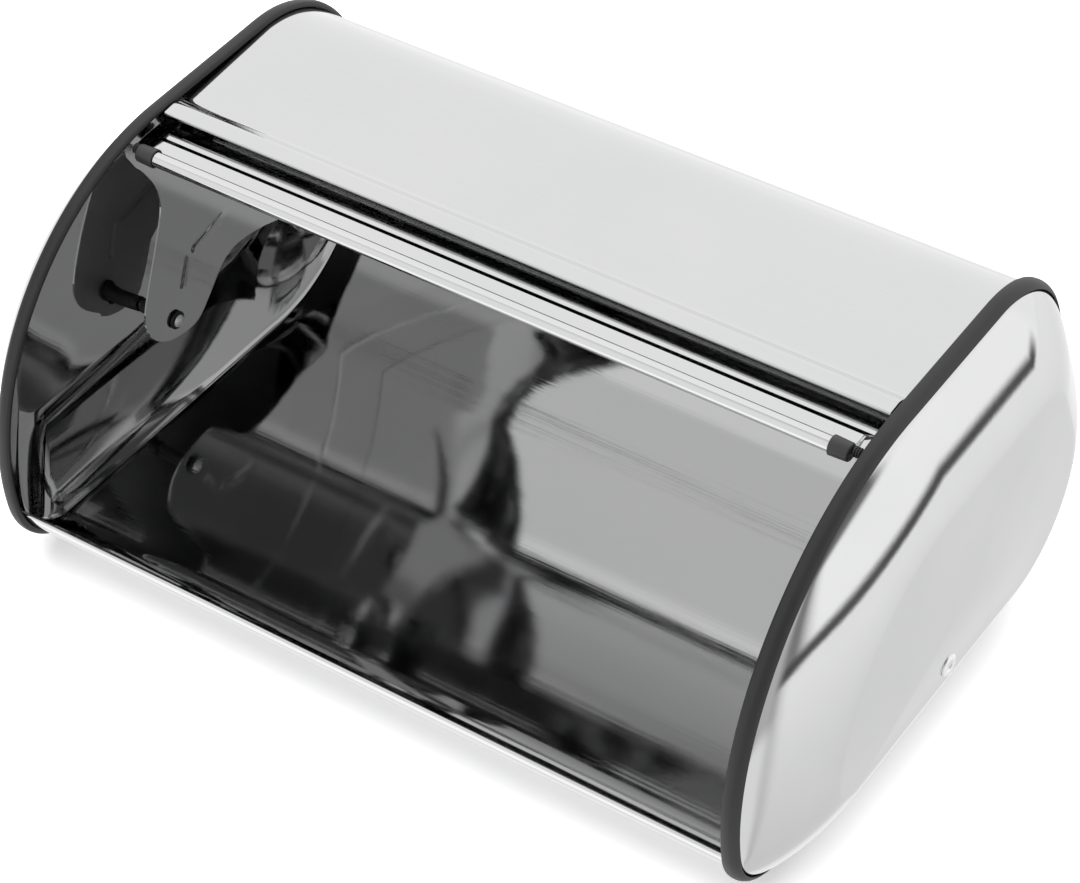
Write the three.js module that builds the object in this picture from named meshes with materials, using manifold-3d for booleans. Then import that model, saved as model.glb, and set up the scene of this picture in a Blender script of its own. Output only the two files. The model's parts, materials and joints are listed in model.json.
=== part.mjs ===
// Bread box with a roll top: a bent sheet case between two drawn end caps,
// and a quarter-drum door that swings on one pin in each cap.
// Millimetres, +Z up, +X to the right, the mouth faces -Y. The origin is on the
// resting plane, under the middle of the box.
import * as THREE from 'three';
import { ParametricGeometry } from 'three/addons/geometries/ParametricGeometry.js';
import { mergeVertices } from 'three/addons/utils/BufferGeometryUtils.js';
import Module from 'manifold-3d';

const wasm = await Module();
wasm.setup();

// ---------------------------------------------------------------- dimensions
const DEPTH = 275.3;              // front of the trims to their back
const FOOT_DROP = 3;              // the feet stand this much below the trims
const RIM_HEIGHT = 179.2;         // bottom to top of the trims
const PIVOT_Y = 128.1 - DEPTH / 2;
const PIVOT_Z = 49.6 + FOOT_DROP;
const R_FRONT = 128.1;            // front arc of the side outline, about the pivot
const R_FRONT_LOW = 37;           // lower front corner
const R_BACK_TOP = 63;            // upper back corner
const R_BACK_LOW = 85;            // lower back corner

const SHEET_T = 0.7;              // case sheet
const SHEET_INSET = 3.3;          // case sheet below the crest of the trims
const SHEET_HALF = 186;           // half length of the case sheet, under the trims
const LIP_HALF = 181.6;           // half length of the raised front lip, between the trims
const TRIM_IN = 182.6;            // inner side of a trim
const TRIM_OUT = 190.8;           // outer side of a trim
const TRIM_DEPTH = 3.0;           // how far a trim reaches in, down to the case sheet
const CAP_T = 0.8;                // cap wall
const CAP_FLANGE_X = 186.6;       // cap edge that the trim grips
const CAP_DEPTH = 24.4;           // bulge of a cap beyond its root
const CAP_ROOT_X = 189;
const CAP_SHOULDER = 37;          // width of the rounded shoulder
const CAP_CROWN = 1.8;

const DOOR_R = 118.8;             // outer face of the door sheet, about the pivot
const DOOR_T = 0.6;
const DOOR_HALF = 179;
const DOOR_BACK_DEG = -2;         // free back edge, door open
const DOOR_STEP_DEG = 95.2;       // step before the pull strip
const PLATE_X = 193.3;            // inner face of a door side plate
const PLATE_T = 0.8;
const FLANGE_R = 117.9;           // outer face of the side plate's curved flange
const FLANGE_T = 0.8;
const FLANGE_IN = 168;
const TUBE_Y = -25.6;             // pull tube, from the pivot, door open
const TUBE_Z = 119.9;
const TUBE_R = 3.4;
const TUBE_WALL = 0.6;
const TUBE_HALF = 172;
const CAP_END_R = 4.4;
const CAP_END_IN = 168.4;
const CAP_END_OUT = 177.6;
const PLUG_R = 2.4;
const PIN_R = 2.0;
const BUSH_R = 3.7;

const deg = Math.PI / 180;

// ---------------------------------------------------------------- materials
const steel = new THREE.MeshStandardMaterial({ color: 0xd6d8da, roughness: 0.06, metalness: 1 });
const satin = new THREE.MeshStandardMaterial({ color: 0xc9cbcd, roughness: 0.16, metalness: 1 });
const trimBlack = new THREE.MeshStandardMaterial({ color: 0x2b2b2d, roughness: 0.55, metalness: 0 });
const plasticBlack = new THREE.MeshStandardMaterial({ color: 0x222224, roughness: 0.42, metalness: 0 });
const rubber = new THREE.MeshStandardMaterial({ color: 0x2a2a2a, roughness: 0.8, metalness: 0 });
const nylon = new THREE.MeshStandardMaterial({ color: 0x2c2c2e, roughness: 0.5, metalness: 0 });

// ---------------------------------------------------------------- side outline
// Four arcs joined by their common tangents, given by the outward normal angle:
// 0 is +Y, 90 is +Z, 180 is -Y. "inset" shrinks it inwards by that distance.
const cFront = [PIVOT_Y, PIVOT_Z];
const zFrontLow = FOOT_DROP + R_FRONT_LOW;
const cFrontLow = [
  PIVOT_Y - Math.sqrt((R_FRONT - R_FRONT_LOW) ** 2 - (zFrontLow - PIVOT_Z) ** 2),
  zFrontLow,
];
const cBackTop = [201 - DEPTH / 2, FOOT_DROP + RIM_HEIGHT - R_BACK_TOP];
const cBackLow = [DEPTH / 2 - R_BACK_LOW, FOOT_DROP + R_BACK_LOW];
const aLow = Math.atan2(cFrontLow[1] - cFront[1], cFrontLow[0] - cFront[0]) / deg + 360;

function support(c, r, a) {
  return c[0] * Math.cos(a * deg) + c[1] * Math.sin(a * deg) + r;
}
function crossover(c1, r1, c2, r2, a, b) {
  let lo = a, hi = b;
  const f = (x) => support(c1, r1, x) - support(c2, r2, x);
  const s = Math.sign(f(lo));
  for (let i = 0; i < 60; i++) {
    const m = (lo + hi) / 2;
    if (Math.sign(f(m)) === s) lo = m; else hi = m;
  }
  return (lo + hi) / 2;
}
const aTop = crossover(cBackTop, R_BACK_TOP, cFront, R_FRONT, 85, 100);
const aBack = crossover(cBackLow, R_BACK_LOW, cBackTop, R_BACK_TOP, -20, 20);
const arcs = [
  { from: aBack, to: aTop, c: cBackTop, r: R_BACK_TOP, n: 13 },
  { from: aTop, to: aLow, c: cFront, r: R_FRONT, n: 16 },
  { from: aLow, to: 270, c: cFrontLow, r: R_FRONT_LOW, n: 12 },
  { from: 270, to: 360 + aBack, c: cBackLow, r: R_BACK_LOW, n: 14 },
];
function outlineSamples() {
  const out = [];
  for (const k of arcs) {
    for (let i = 0; i <= k.n; i++) {
      out.push({ a: k.from + ((k.to - k.from) * i) / k.n, c: k.c, r: k.r });
    }
  }
  return out;
}
const SAMPLES = outlineSamples();
function atSample(s, inset) {
  return [s.c[0] + (s.r - inset) * Math.cos(s.a * deg), s.c[1] + (s.r - inset) * Math.sin(s.a * deg)];
}
function outlinePoint(a, inset) {
  let x = a;
  while (x < aBack) x += 360;
  while (x > 360 + aBack) x -= 360;
  const k = arcs.find((q) => x >= q.from && x <= q.to);
  return atSample({ a: x, c: k.c, r: k.r }, inset);
}

// Outline of the flat middle of a cap: the same arcs shrunk by the shoulder's
// width, with a rounder lower front corner.
const CAP_INSET = 3.5 + CAP_SHOULDER;
const R_MID_LOW = 16;
const zMidLow = FOOT_DROP + CAP_INSET + R_MID_LOW;
const cMidLow = [
  PIVOT_Y - Math.sqrt((R_FRONT - CAP_INSET - R_MID_LOW) ** 2 - (zMidLow - PIVOT_Z) ** 2),
  zMidLow,
];
const aMidLow = Math.atan2(cMidLow[1] - PIVOT_Z, cMidLow[0] - PIVOT_Y) / deg;
function middleAt(s) {
  const low = s.c === cFrontLow || (s.c === cFront && s.a > aMidLow);
  return low ? atSample({ a: s.a, c: cMidLow, r: R_MID_LOW }, 0) : atSample(s, CAP_INSET);
}

// ---------------------------------------------------------------- helpers
// Clean closed mesh: shared vertices, no sliver of zero area.
function clean(geometry) {
  const g = geometry.clone();
  for (const name of Object.keys(g.attributes)) if (name !== 'position') g.deleteAttribute(name);
  const m = mergeVertices(g, 1e-4);
  const idx = m.index.array;
  const keep = [];
  for (let i = 0; i < idx.length; i += 3) {
    const [a, b, c] = [idx[i], idx[i + 1], idx[i + 2]];
    if (a !== b && b !== c && c !== a) keep.push(a, b, c);
  }
  m.setIndex(keep);
  return m;
}
function signedVolume(g) {
  const p = g.attributes.position.array, x = g.index.array;
  let v = 0;
  for (let i = 0; i < x.length; i += 3) {
    const a = x[i] * 3, b = x[i + 1] * 3, c = x[i + 2] * 3;
    v += p[a] * (p[b + 1] * p[c + 2] - p[b + 2] * p[c + 1])
       - p[a + 1] * (p[b] * p[c + 2] - p[b + 2] * p[c])
       + p[a + 2] * (p[b] * p[c + 1] - p[b + 1] * p[c]);
  }
  return v / 6;
}
function outward(g) {
  if (signedVolume(g) < 0) {
    const x = g.index.array;
    for (let i = 0; i < x.length; i += 3) { const t = x[i]; x[i] = x[i + 1]; x[i + 1] = t; }
  }
  return g;
}
// Surface swept around the side outline: section is a list of [inset, x].
// An open section starts and ends at a pole, "null" inset meaning the cap centre.
const POLE = [PIVOT_Y + 12, PIVOT_Z + 30];
function aroundOutline(section, closed, mirror, blended = false) {
  const rings = SAMPLES.length;
  const rows = closed ? section.length : section.length - 1;
  const g = new ParametricGeometry((u, v, target) => {
    const i = Math.round(u * rings) % rings;
    const j = Math.round(v * rows) % section.length;
    const [inset, x] = section[j];
    let y, z;
    if (inset === null) { [y, z] = POLE; }
    else if (inset < 0) {
      // crown: the middle's outline shrunk towards the pole by a factor
      const [py, pz] = middleAt(SAMPLES[i]);
      const k = -inset;
      y = POLE[0] + (py - POLE[0]) * k; z = POLE[1] + (pz - POLE[1]) * k;
    } else if (blended && inset > 3.5) {
      // shoulder: between the cap's root and the middle's outline
      const w = (inset - 3.5) / CAP_SHOULDER;
      const [ry, rz] = atSample(SAMPLES[i], 3.5);
      const [my, mz] = middleAt(SAMPLES[i]);
      y = ry + (my - ry) * w; z = rz + (mz - rz) * w;
    } else [y, z] = atSample(SAMPLES[i], inset);
    target.set(mirror * x, y, z);
  }, rings, rows);
  return outward(clean(g));
}
// Flat outline in the Y-Z plane, pushed along X from x0 to x1.
function alongX(points, x0, x1, holes = []) {
  const shape = new THREE.Shape(points.map((p) => new THREE.Vector2(p[0], p[1])));
  for (const h of holes) shape.holes.push(new THREE.Path(h.map((p) => new THREE.Vector2(p[0], p[1]))));
  const g = new THREE.ExtrudeGeometry(shape, { depth: x1 - x0, bevelEnabled: false, steps: 1 });
  const m = new THREE.Matrix4().makeBasis(
    new THREE.Vector3(0, 1, 0), new THREE.Vector3(0, 0, 1), new THREE.Vector3(1, 0, 0));
  g.applyMatrix4(m);
  g.translate(x0, 0, 0);
  return outward(clean(g));
}
// Closed strip of constant thickness t to the inner side of a centre path.
function strip(points, t) {
  const path = points.filter((p, i) => i === 0 || Math.hypot(p[0] - points[i - 1][0], p[1] - points[i - 1][1]) > 0.02);
  const n = path.length, inner = [];
  for (let i = 0; i < n; i++) {
    const a = path[Math.max(i - 1, 0)], b = path[Math.min(i + 1, n - 1)];
    let dy = b[0] - a[0], dz = b[1] - a[1];
    const l = Math.hypot(dy, dz); dy /= l; dz /= l;
    let k = 1;
    if (i > 0 && i < n - 1) {
      const p = path[i - 1], q = path[i], r = path[i + 1];
      const l1 = Math.hypot(q[0] - p[0], q[1] - p[1]), l2 = Math.hypot(r[0] - q[0], r[1] - q[1]);
      const cosHalf = Math.sqrt(Math.max(0.3, (1 + ((q[0] - p[0]) * (r[0] - q[0]) + (q[1] - p[1]) * (r[1] - q[1])) / (l1 * l2)) / 2));
      k = 1 / cosHalf;
    }
    inner.push([path[i][0] - dz * t * k, path[i][1] + dy * t * k]);
  }
  return path.concat(inner.reverse());
}
function lathe(profile, segments) {
  // profile: [radius, along], from axis to axis; turned about X
  const g = new THREE.LatheGeometry(profile.map((p) => new THREE.Vector2(p[0], p[1])), segments);
  g.rotateZ(-Math.PI / 2);
  return outward(clean(g));
}
function toManifold(g) {
  return new wasm.Manifold(new wasm.Mesh({
    numProp: 3,
    vertProperties: new Float32Array(g.attributes.position.array),
    triVerts: new Uint32Array(g.index.array),
  }));
}
function fromManifold(solid) {
  const m = solid.getMesh();
  const g = new THREE.BufferGeometry();
  g.setAttribute('position', new THREE.BufferAttribute(new Float32Array(m.vertProperties), 3));
  g.setIndex(new THREE.BufferAttribute(new Uint32Array(m.triVerts), 1));
  return g;
}
function polar(r, a) { return [r * Math.cos(a * deg), r * Math.sin(a * deg)]; }
function polarArc(r, a0, a1, n) {
  return Array.from({ length: n + 1 }, (_, i) => polar(r, a0 + ((a1 - a0) * i) / n));
}

const box = new THREE.Group();
function piece(name, geometry, material, parent = box) {
  const mesh = new THREE.Mesh(geometry, material);
  mesh.name = name;
  parent.add(mesh);
  return mesh;
}

// ---------------------------------------------------------------- case sheet
// Bent from one sheet: a hemmed lip under the mouth, the floor, the back, the
// top, and a raised front lip over the door.
const LIP_ANGLE = 196.4;          // where the front lip ends on the lower corner
function caseSheet() {
  const path = [];
  const hemIn = 1.9;
  const [ly, lz] = outlinePoint(LIP_ANGLE, SHEET_INSET);
  // hem folded back inside the lip
  const [hy, hz] = outlinePoint(LIP_ANGLE + 9, SHEET_INSET + hemIn);
  path.push([hy, hz], [ly + hemIn, lz + 0.2], [ly + hemIn * 0.5, lz + 0.75], [ly, lz]);
  const lower = [];
  for (let i = 1; i <= 12; i++) lower.push(outlinePoint(LIP_ANGLE + ((270 - LIP_ANGLE) * i) / 12, SHEET_INSET));
  path.push(...lower);
  for (let i = 0; i <= 14; i++) path.push(outlinePoint(270 + ((90 + aBack) * i) / 14, SHEET_INSET));
  for (let i = 0; i <= 13; i++) path.push(atSample({ a: aBack + ((aTop - aBack) * i) / 13, c: cBackTop, r: R_BACK_TOP }, SHEET_INSET));
  // top panel runs forward to the crease, then the raised lip
  const crease = 134.3 - DEPTH / 2, lipY = 124.4 - DEPTH / 2;
  const zc = outlinePoint(aTop + 0.01, SHEET_INSET)[1];
  path.push([crease + 4.2, zc - 0.5], [crease + 1.6, zc - 0.1], [crease, zc + 0.9], [lipY + 0.9, zc + 0.35]);
  path.push([lipY, zc - 0.1]);
  let solid = toManifold(alongX(strip(path, SHEET_T), -SHEET_HALF, SHEET_HALF));
  // the raised lip stops between the trims
  const notch = [[lipY - 4, zc - 6], [crease + 5.4, zc - 6], [crease + 5.4, zc + 5], [lipY - 4, zc + 5]];
  solid = solid.subtract(toManifold(alongX(notch, LIP_HALF, SHEET_HALF + 2)));
  solid = solid.subtract(toManifold(alongX(notch, -SHEET_HALF - 2, -LIP_HALF)));
  return fromManifold(solid);
}
piece('case_sheet', caseSheet(), steel);

// ---------------------------------------------------------------- end caps
// Drawn from sheet: a flat edge for the trim, a rounded shoulder, a slightly
// crowned middle. The pin passes through a punched hole.
function capSection() {
  const e = 1.6, out = [], inn = [];
  const steps = 6;
  for (let i = 0; i <= steps; i++) {
    const t = (0.12 + (1 - 0.12) * (i / steps)) * 90 * deg;
    out.push([3.5 + CAP_SHOULDER * (1 - Math.cos(t) ** e), CAP_ROOT_X + CAP_DEPTH * Math.sin(t) ** e]);
  }
  // inner side: shift each point along the section's own normal
  for (let i = 0; i <= steps; i++) {
    const a = out[Math.max(i - 1, 0)], b = out[Math.min(i + 1, steps)];
    let du = b[0] - a[0], dx = b[1] - a[1];
    const l = Math.hypot(du, dx); du /= l; dx /= l;
    inn.push([out[i][0] + dx * CAP_T, out[i][1] - du * CAP_T]);
  }
  const xTop = CAP_ROOT_X + CAP_DEPTH;
  const flange = [
    [3.0, CAP_FLANGE_X + CAP_T + 0.35],
    [1.9, CAP_FLANGE_X + CAP_T],
    [1.9, CAP_FLANGE_X],
    [3.7, CAP_FLANGE_X],
  ];
  const section = [[null, xTop + CAP_CROWN]];
  for (const k of [0.4, 0.75]) section.push([-k, xTop + CAP_CROWN * (1 - k * k)]);
  section.push(...out.slice().reverse(), ...flange, ...inn);
  for (const k of [0.75, 0.4]) section.push([-k, xTop + CAP_CROWN * (1 - k * k) - CAP_T]);
  section.push([null, xTop + CAP_CROWN - CAP_T]);
  return section;
}
function endCap(side) {
  const shell = toManifold(aroundOutline(capSection(), false, side, true));
  const hole = new THREE.CylinderGeometry(PIN_R + 0.3, PIN_R + 0.3, 30, 24);
  hole.rotateZ(Math.PI / 2);
  hole.translate(side * (CAP_ROOT_X + CAP_DEPTH), PIVOT_Y, PIVOT_Z);
  return fromManifold(shell.subtract(toManifold(clean(hole))));
}
piece('left_end_cap', endCap(-1), satin);
piece('right_end_cap', endCap(1), satin);

// ---------------------------------------------------------------- edge trims
// A soft profile pushed over each cap edge: flat crest, rounded shoulders and a
// slot that grips the cap's edge.
function trimSection() {
  const gripIn = CAP_FLANGE_X - 0.3, gripOut = CAP_FLANGE_X + CAP_T + 0.3;
  return [
    [1.5, TRIM_IN], [0.45, TRIM_IN + 0.5], [0, TRIM_IN + 1.7], [0, TRIM_IN + 3.4],
    [0.35, TRIM_IN + 5.0], [1.2, TRIM_IN + 6.4], [2.4, TRIM_OUT - 0.75], [3.35, TRIM_OUT - 0.1],
    [3.5, TRIM_OUT - 0.9], [2.6, gripOut + 0.5], [1.6, gripOut], [1.5, gripIn],
    [TRIM_DEPTH, gripIn], [TRIM_DEPTH, TRIM_IN + 0.5], [TRIM_DEPTH - 0.5, TRIM_IN],
  ];
}
piece('left_edge_trim', aroundOutline(trimSection(), true, -1), trimBlack);
piece('right_edge_trim', aroundOutline(trimSection(), true, 1), trimBlack);

// ---------------------------------------------------------------- feet
const footTop = FOOT_DROP + SHEET_INSET - 0.3;
for (const [name, x, y] of [
  ['front_left_foot', -150, -78], ['front_right_foot', 150, -78],
  ['back_left_foot', -150, 42], ['back_right_foot', 150, 42],
]) {
  const g = new THREE.LatheGeometry([
    [0, 0], [7.2, 0], [8.3, 0.6], [9.5, footTop - 0.6], [9.1, footTop], [0, footTop],
  ].map((p) => new THREE.Vector2(p[0], p[1])), 20);
  g.rotateX(Math.PI / 2);
  const foot = piece(name, outward(clean(g)), rubber);
  foot.position.set(x, y, 0);
}

// ---------------------------------------------------------------- pivots
// A shouldered rivet through cap, bush, side plate and washer.
const capSkinX = (() => {
  // cap surface over the pivot: between the shoulder edge and the pole
  return CAP_ROOT_X + CAP_DEPTH + CAP_CROWN * 0.62;
})();
for (const [side, tag] of [[-1, 'left'], [1, 'right']]) {
  const headX = capSkinX + 1.0;
  const innerHead = PLATE_X - 1.9;
  const pin = lathe([
    [0, innerHead - 1.9], [1.5, innerHead - 1.75], [2.6, innerHead - 1.1], [3.1, innerHead - 0.3], [3.1, innerHead],
    [PIN_R, innerHead + 0.001], [PIN_R, headX], [5.2, headX + 0.001], [5.2, headX + 0.5], [4.6, headX + 1.2],
    [2.4, headX + 1.3], [1.9, headX + 0.6], [0, headX + 0.6],
  ], 18);
  if (side < 0) { pin.scale(-1, 1, 1); outward(pin); }
  piece(`${tag}_pivot_pin`, pin, steel).position.set(0, PIVOT_Y, PIVOT_Z);

  const washer = lathe([
    [PIN_R + 0.3, innerHead + 0.3], [4.6, innerHead + 0.3], [4.6, innerHead + 1.5], [PIN_R + 0.3, innerHead + 1.5], [PIN_R + 0.3, innerHead + 0.3],
  ], 18);
  if (side < 0) { washer.scale(-1, 1, 1); outward(washer); }
  piece(`${tag}_pivot_washer`, washer, plasticBlack).position.set(0, PIVOT_Y, PIVOT_Z);

  const b0 = PLATE_X + PLATE_T + 0.35, b1 = CAP_ROOT_X + CAP_DEPTH - CAP_T - 0.3;
  const bush = lathe([
    [PIN_R + 0.3, b0], [BUSH_R + 1.2, b0], [BUSH_R + 1.2, b0 + 1.2], [BUSH_R, b0 + 1.6], [BUSH_R, b1], [PIN_R + 0.3, b1], [PIN_R + 0.3, b0],
  ], 18);
  if (side < 0) { bush.scale(-1, 1, 1); outward(bush); }
  piece(`${tag}_pivot_bush`, bush, nylon).position.set(0, PIVOT_Y, PIVOT_Z);
}

// ---------------------------------------------------------------- door
// Everything below is drawn with the pivot at the group's own origin, the door
// in its open place.
const door = new THREE.Group();
door.position.set(0, PIVOT_Y, PIVOT_Z);
box.add(door);

// Door sheet: rolled arc, a small step, then a flat strip that runs out to the
// pull tube.
const STEP_END = polar(DOOR_R + 1.5, DOOR_STEP_DEG + 1.1);
const STRIP_END = [-21.5, 120.0];
function doorSheet() {
  const path = polarArc(DOOR_R, DOOR_BACK_DEG, DOOR_STEP_DEG, 28);
  path.push(polar(DOOR_R + 0.4, DOOR_STEP_DEG + 0.35), polar(DOOR_R + 1.3, DOOR_STEP_DEG + 0.75), STEP_END);
  const k = 8;
  for (let i = 1; i <= k; i++) {
    path.push([STEP_END[0] + ((STRIP_END[0] - STEP_END[0]) * i) / k, STEP_END[1] + ((STRIP_END[1] - STEP_END[1]) * i) / k]);
  }
  return alongX(strip(path, DOOR_T), -DOOR_HALF, DOOR_HALF);
}
piece('door_sheet', doorSheet(), steel, door);

// Pull tube along the strip's edge.
function ring(r, n, cy, cz) {
  return Array.from({ length: n }, (_, i) => [cy + r * Math.cos((2 * Math.PI * i) / n), cz + r * Math.sin((2 * Math.PI * i) / n)]);
}
piece('door_pull_tube', alongX(ring(TUBE_R, 24, TUBE_Y, TUBE_Z), -TUBE_HALF, TUBE_HALF,
  [ring(TUBE_R - TUBE_WALL, 24, TUBE_Y, TUBE_Z).reverse()]), steel, door);

for (const [side, tag] of [[-1, 'left'], [1, 'right']]) {
  // End cap of the pull tube: a cup over the tube's end.
  // The cup's skirt clears the strip's edge, so it is a little flattened there.
  const cup = lathe([
    [0, CAP_END_OUT], [CAP_END_R - 1.0, CAP_END_OUT], [CAP_END_R - 0.2, CAP_END_OUT - 0.8], [CAP_END_R, CAP_END_OUT - 2],
    [CAP_END_R, CAP_END_IN + 0.5], [CAP_END_R - 0.3, CAP_END_IN], [TUBE_R + 0.3, CAP_END_IN], [TUBE_R + 0.3, TUBE_HALF + 0.3], [0, TUBE_HALF + 0.3],
  ], 24);
  cup.translate(0, TUBE_Y, TUBE_Z);
  const notchShape = [
    [STRIP_END[0] - 0.35, STRIP_END[1] + 0.35], [STRIP_END[0] - 0.35, STRIP_END[1] - 0.95],
    [STRIP_END[0] + 6, STRIP_END[1] - 1.25], [STRIP_END[0] + 6, STRIP_END[1] + 0.3],
  ];
  const notch = alongX(notchShape, CAP_END_IN - 2, CAP_END_OUT + 2);
  let g = fromManifold(toManifold(cup).subtract(toManifold(notch)));
  if (side < 0) { g.scale(-1, 1, 1); g = outward(g); }
  piece(`${tag}_pull_cap`, g, plasticBlack, door);

  // Ribbed plug beyond the cap.
  const x0 = CAP_END_OUT + 0.3;
  const plug = lathe([
    [0, x0], [PLUG_R - 0.5, x0], [PLUG_R - 0.5, x0 + 0.5], [PLUG_R, x0 + 0.7], [PLUG_R, x0 + 1.2],
    [PLUG_R - 0.6, x0 + 1.5], [PLUG_R - 0.6, x0 + 1.9], [PLUG_R, x0 + 2.2], [PLUG_R, x0 + 2.8], [PLUG_R - 0.7, x0 + 3.4], [0, x0 + 3.4],
  ], 18);
  plug.translate(0, TUBE_Y + 1.2, TUBE_Z + 0.3);
  if (side < 0) { plug.scale(-1, 1, 1); outward(plug); }
  piece(`${tag}_pull_plug`, plug, plasticBlack, door);
}

// Side plates: a lobe round the pin, opening into a fan that follows the door
// sheet, with a curved flange under the sheet and a raised stiffening rib.
const plateFront = [
  [-13.2, 97], [-8.6, 91], [-2.2, 79], [-0.4, 66], [-5.6, 50.5], [-11.6, 36], [-18.2, 19.5],
  [-19.8, 9.5], [-15.8, -1], [-7, -8.2], [3.3, -11.2], [15, -11], [24.2, -3.6], [36, 8.4],
  [47.5, 12.6], [65.8, 10.2], [84, 4.6],
];
function sidePlate(side) {
  const front = new THREE.SplineCurve(plateFront.map((p) => new THREE.Vector2(p[0], p[1]))).getPoints(28).map((p) => [p.x, p.y]);
  const arc = polarArc(FLANGE_R, 2.4, 99.5, 22);
  const outline = arc.concat([[-17.6, 104]], front);
  let solid = toManifold(alongX(outline, PLATE_X, PLATE_X + PLATE_T));
  // curved flange
  const flange = polarArc(FLANGE_R, 2.4, 94, 20).concat(polarArc(FLANGE_R - FLANGE_T, 94, 2.4, 20));
  solid = solid.add(toManifold(alongX(flange, FLANGE_IN, PLATE_X + PLATE_T * 0.5)));
  // tab that runs in under the end of the pull strip
  const tab = polarArc(FLANGE_R, 93.5, 99.5, 4).concat(polarArc(FLANGE_R - FLANGE_T, 99.5, 93.5, 4));
  solid = solid.add(toManifold(alongX(tab, 176, PLATE_X + PLATE_T * 0.5)));
  // raised ribs
  const rib = (a, b, w) => {
    const dy = b[0] - a[0], dz = b[1] - a[1], l = Math.hypot(dy, dz), ty = dy / l, tz = dz / l;
    const pts = [];
    for (let i = 0; i <= 6; i++) { const t = 90 + 30 * i; const c = Math.cos(t * deg), s = Math.sin(t * deg); pts.push([a[0] + w * (c * ty - s * tz), a[1] + w * (c * tz + s * ty)]); }
    for (let i = 0; i <= 6; i++) { const t = -90 + 30 * i; const c = Math.cos(t * deg), s = Math.sin(t * deg); pts.push([b[0] + w * (c * ty - s * tz), b[1] + w * (c * tz + s * ty)]); }
    return toManifold(alongX(pts, PLATE_X - 0.8, PLATE_X + 0.3));
  };
  solid = solid.add(rib([7.6, 15], [12.6, 28], 1.8));
  solid = solid.add(rib([19, 29.6], [46, 34.6], 2.4));
  // pin hole
  const hole = new THREE.CylinderGeometry(PIN_R + 0.3, PIN_R + 0.3, 10, 24);
  hole.rotateZ(Math.PI / 2);
  hole.translate(PLATE_X, 0, 0);
  let g = fromManifold(solid.subtract(toManifold(clean(hole))));
  if (side < 0) { g.scale(-1, 1, 1); g = outward(g); }
  return g;
}
piece('left_door_side', sidePlate(-1), satin, door);
piece('right_door_side', sidePlate(1), satin, door);

export default box;
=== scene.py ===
import bpy, math, json
import numpy as np
from mathutils import Vector, Matrix


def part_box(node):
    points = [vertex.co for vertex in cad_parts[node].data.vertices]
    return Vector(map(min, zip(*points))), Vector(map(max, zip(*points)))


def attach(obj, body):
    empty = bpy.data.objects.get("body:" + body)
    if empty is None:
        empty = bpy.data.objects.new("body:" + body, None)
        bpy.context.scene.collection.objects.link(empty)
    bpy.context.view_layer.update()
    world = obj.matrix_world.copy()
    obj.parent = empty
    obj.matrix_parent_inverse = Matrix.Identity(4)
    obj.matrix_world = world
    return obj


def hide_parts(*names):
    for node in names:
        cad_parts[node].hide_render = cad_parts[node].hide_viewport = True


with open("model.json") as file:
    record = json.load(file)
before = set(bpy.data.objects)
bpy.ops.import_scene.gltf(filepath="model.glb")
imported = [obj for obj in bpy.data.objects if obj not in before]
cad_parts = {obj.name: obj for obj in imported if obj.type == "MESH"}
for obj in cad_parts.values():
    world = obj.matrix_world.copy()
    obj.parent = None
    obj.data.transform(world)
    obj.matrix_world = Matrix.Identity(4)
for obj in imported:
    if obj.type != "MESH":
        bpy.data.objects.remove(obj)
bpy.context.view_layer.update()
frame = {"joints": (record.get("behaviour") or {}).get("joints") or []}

# ------------------------------------------------------------------ anchors
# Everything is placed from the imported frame. Lengths below are millimetres in
# the frame's own axes; MM turns them into metres when a mesh is made.
MM = 0.001
JOINT = [j for j in frame["joints"] if j["name"] == "door_hinge"][0]
PIVOT = [c / MM for c in JOINT["pos_m"]]
PY, PZ = PIVOT[1], PIVOT[2]


def span(node):
    lo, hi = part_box(node)
    return np.array(lo) / MM, np.array(hi) / MM


TRIM_LO, TRIM_HI = span("right_edge_trim")
SHEET_LO, SHEET_HI = span("case_sheet")
CAPS_LO, CAPS_HI = span("right_end_cap")
DOOR_LO, DOOR_HI = span("door_sheet")
SIDE_LO, SIDE_HI = span("right_door_side")
TUBE_LO, TUBE_HI = span("door_pull_tube")
PCAP_LO, PCAP_HI = span("right_pull_cap")
PLUG_LO, PLUG_HI = span("right_pull_plug")
PIN_LO, PIN_HI = span("right_pivot_pin")
WASH_LO, WASH_HI = span("right_pivot_washer")
BUSH_LO, BUSH_HI = span("right_pivot_bush")

FRONT = -(128.1 - PY)                      # front of the trims
R_FRONT, R_FRONT_LOW, R_BACK_TOP, R_BACK_LOW = 128.1, 37.0, 63.0, 85.0
BACK = TRIM_HI[1]
BOTTOM, TOP = TRIM_LO[2], TRIM_HI[2]
SHEET_INSET = 3.3
SHEET_HALF = SHEET_HI[0]
TRIM_IN, TRIM_OUT = TRIM_LO[0], TRIM_HI[0]
CAP_FLANGE_X = CAPS_LO[0]
CAP_T = 0.8
CAP_ROOT_X = CAP_FLANGE_X + 2.4
CAP_CROWN = 1.8
CAP_DEPTH = CAPS_HI[0] - CAP_ROOT_X - CAP_CROWN
CAP_SHOULDER = 37.0
DOOR_R = 118.8
PLATE_X = SIDE_HI[0] - 0.8
D = math.pi / 180

# ------------------------------------------------------------------ outline
C_FRONT = np.array([PY, PZ])
Z_LOW = BOTTOM + R_FRONT_LOW
C_FRONT_LOW = np.array([PY - math.sqrt((R_FRONT - R_FRONT_LOW) ** 2 - (Z_LOW - PZ) ** 2), Z_LOW])
C_BACK_LOW = np.array([BACK - R_BACK_LOW, BOTTOM + R_BACK_LOW])
C_BACK_TOP = np.array([BACK - 74.3, TOP - R_BACK_TOP])
A_LOW = math.degrees(math.atan2(*(C_FRONT_LOW - C_FRONT)[::-1])) + 360


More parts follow.
